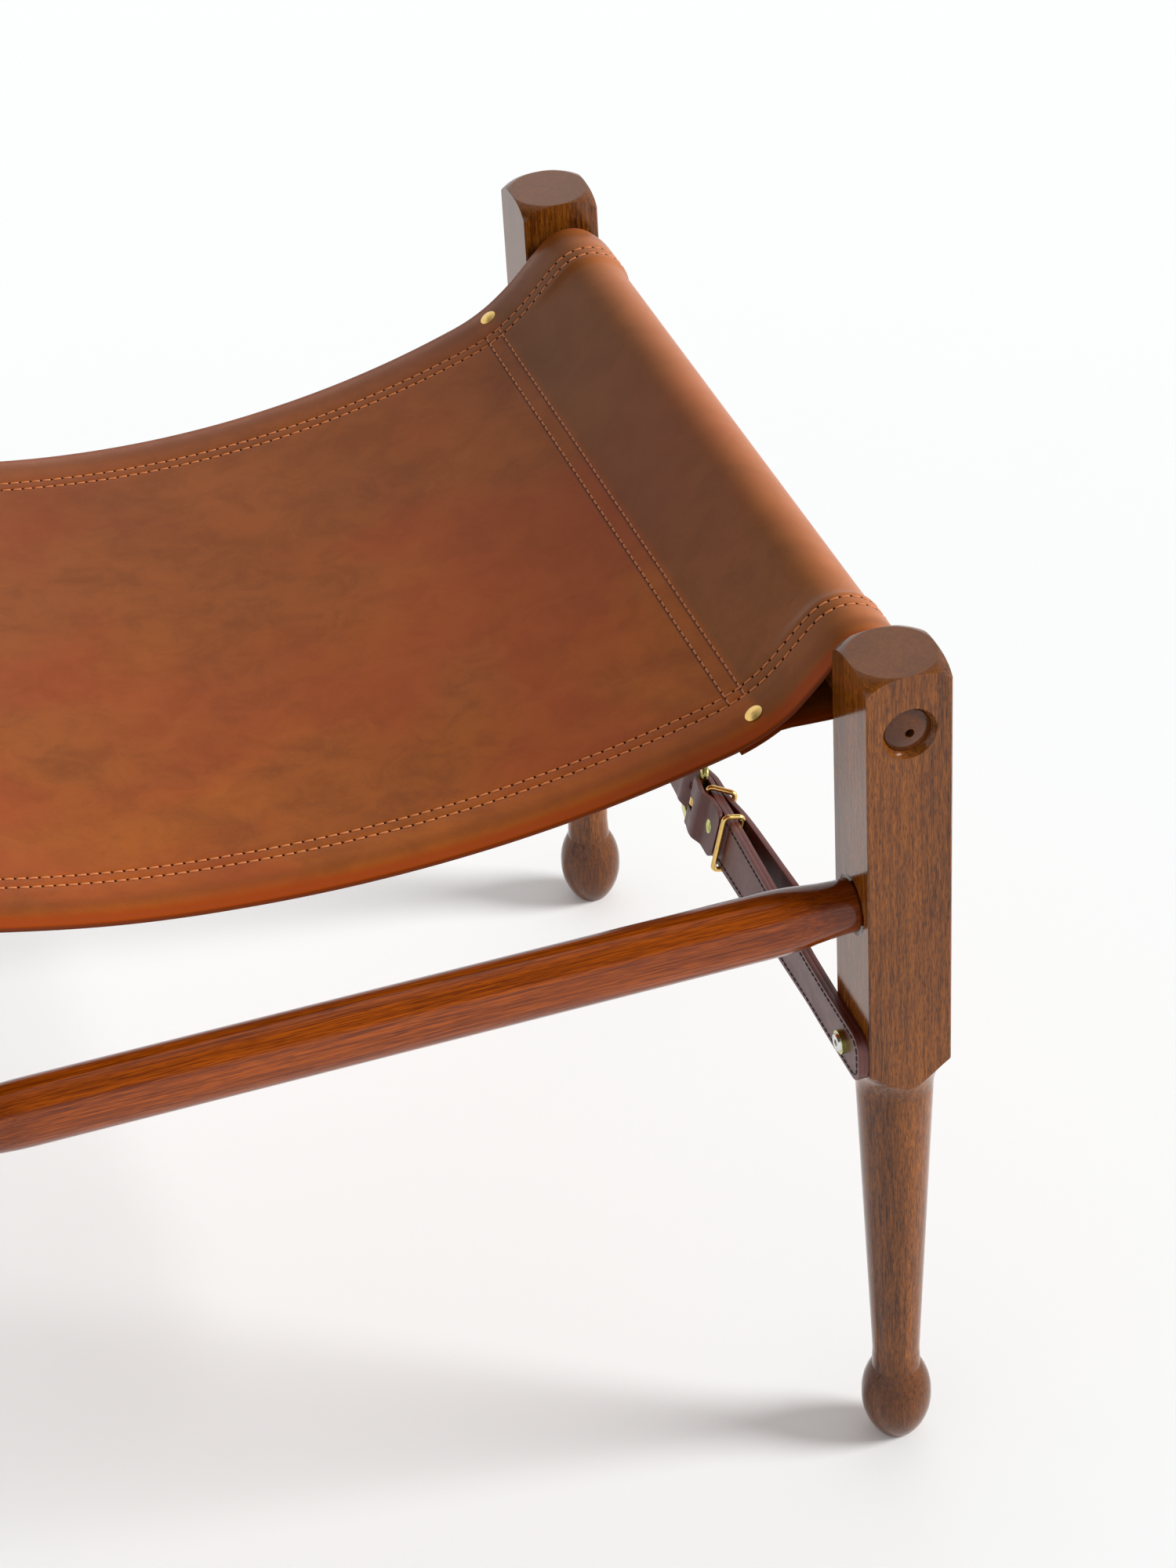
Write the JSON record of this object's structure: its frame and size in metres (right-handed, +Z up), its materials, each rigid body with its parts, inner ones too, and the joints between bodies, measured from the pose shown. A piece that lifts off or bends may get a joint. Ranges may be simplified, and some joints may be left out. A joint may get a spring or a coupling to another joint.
{
  "type": "safari stool",
  "caption": "Low four-legged stool with turned wooden legs and rails, a hung leather sling seat and a buckled leather belt between the legs at each end.",
  "frame": {"origin": "on the floor, under the middle of the seat", "axes": "+Z up, X across the seat from one seat rail to the other, Y along the seat rails from the front to the back"},
  "size_m": [0.484, 0.496, 0.45],
  "materials": {
    "wood": "satin",
    "seat_leather": "waxed",
    "strap_leather": "satin",
    "brass": "polished",
    "steel": "bright"
  },
  "bodies": {
    "stool": {"front_right_leg": "wood", "back_right_leg": "wood", "front_left_leg": "wood", "back_left_leg": "wood", "front_stretcher": "wood", "back_stretcher": "wood", "right_seat_rail": "wood", "left_seat_rail": "wood", "seat_sling": "seat_leather", "seat_rivets": "brass", "seat_rivet_washers": "brass", "belt_rivets": "brass", "belt_rivet_washers": "brass", "belt_bolts": "steel", "belt_collars": "brass", "threaded_inserts": "brass", "right_buckle_strap": "strap_leather", "right_strap_lining": "strap_leather", "right_billet_strap": "strap_leather", "right_fixed_keeper": "brass", "left_buckle_strap": "strap_leather", "left_strap_lining": "strap_leather", "left_billet_strap": "strap_leather", "left_fixed_keeper": "brass"},
    "right_buckle": {"right_buckle_frame": "brass"},
    "right_tongue": {"right_buckle_tongue": "brass"},
    "right_runner": {"right_runner_keeper": "brass"},
    "left_buckle": {"left_buckle_frame": "brass"},
    "left_tongue": {"left_buckle_tongue": "brass"},
    "left_runner": {"left_runner_keeper": "brass"}
  },
  "joints": [
    {"name": "right_buckle_hinge", "type": "hinge", "parent": "stool", "child": "right_buckle", "pos_m": [0.20077, -0.0335, 0.248], "axis": [-0.2504, 0, -0.9681], "range_deg": [0, 8]},
    {"name": "right_tongue_hinge", "type": "hinge", "parent": "right_buckle", "child": "right_tongue", "pos_m": [0.20077, -0.0335, 0.248], "axis": [-0.2504, 0, -0.9681], "range_deg": [0, 25]},
    {"name": "right_runner_slide", "type": "slide", "parent": "stool", "child": "right_runner", "axis": [-0.0131, -0.9999, 0], "range_m": [0, 0.03]},
    {"name": "left_buckle_hinge", "type": "hinge", "parent": "stool", "child": "left_buckle", "pos_m": [-0.20077, 0.0335, 0.248], "axis": [0.2504, 0, -0.9681], "range_deg": [0, 8]},
    {"name": "left_tongue_hinge", "type": "hinge", "parent": "left_buckle", "child": "left_tongue", "pos_m": [-0.20077, 0.0335, 0.248], "axis": [0.2504, 0, -0.9681], "range_deg": [0, 25]},
    {"name": "left_runner_slide", "type": "slide", "parent": "stool", "child": "left_runner", "axis": [0.0131, 0.9999, 0], "range_m": [0, 0.03]}
  ]
}
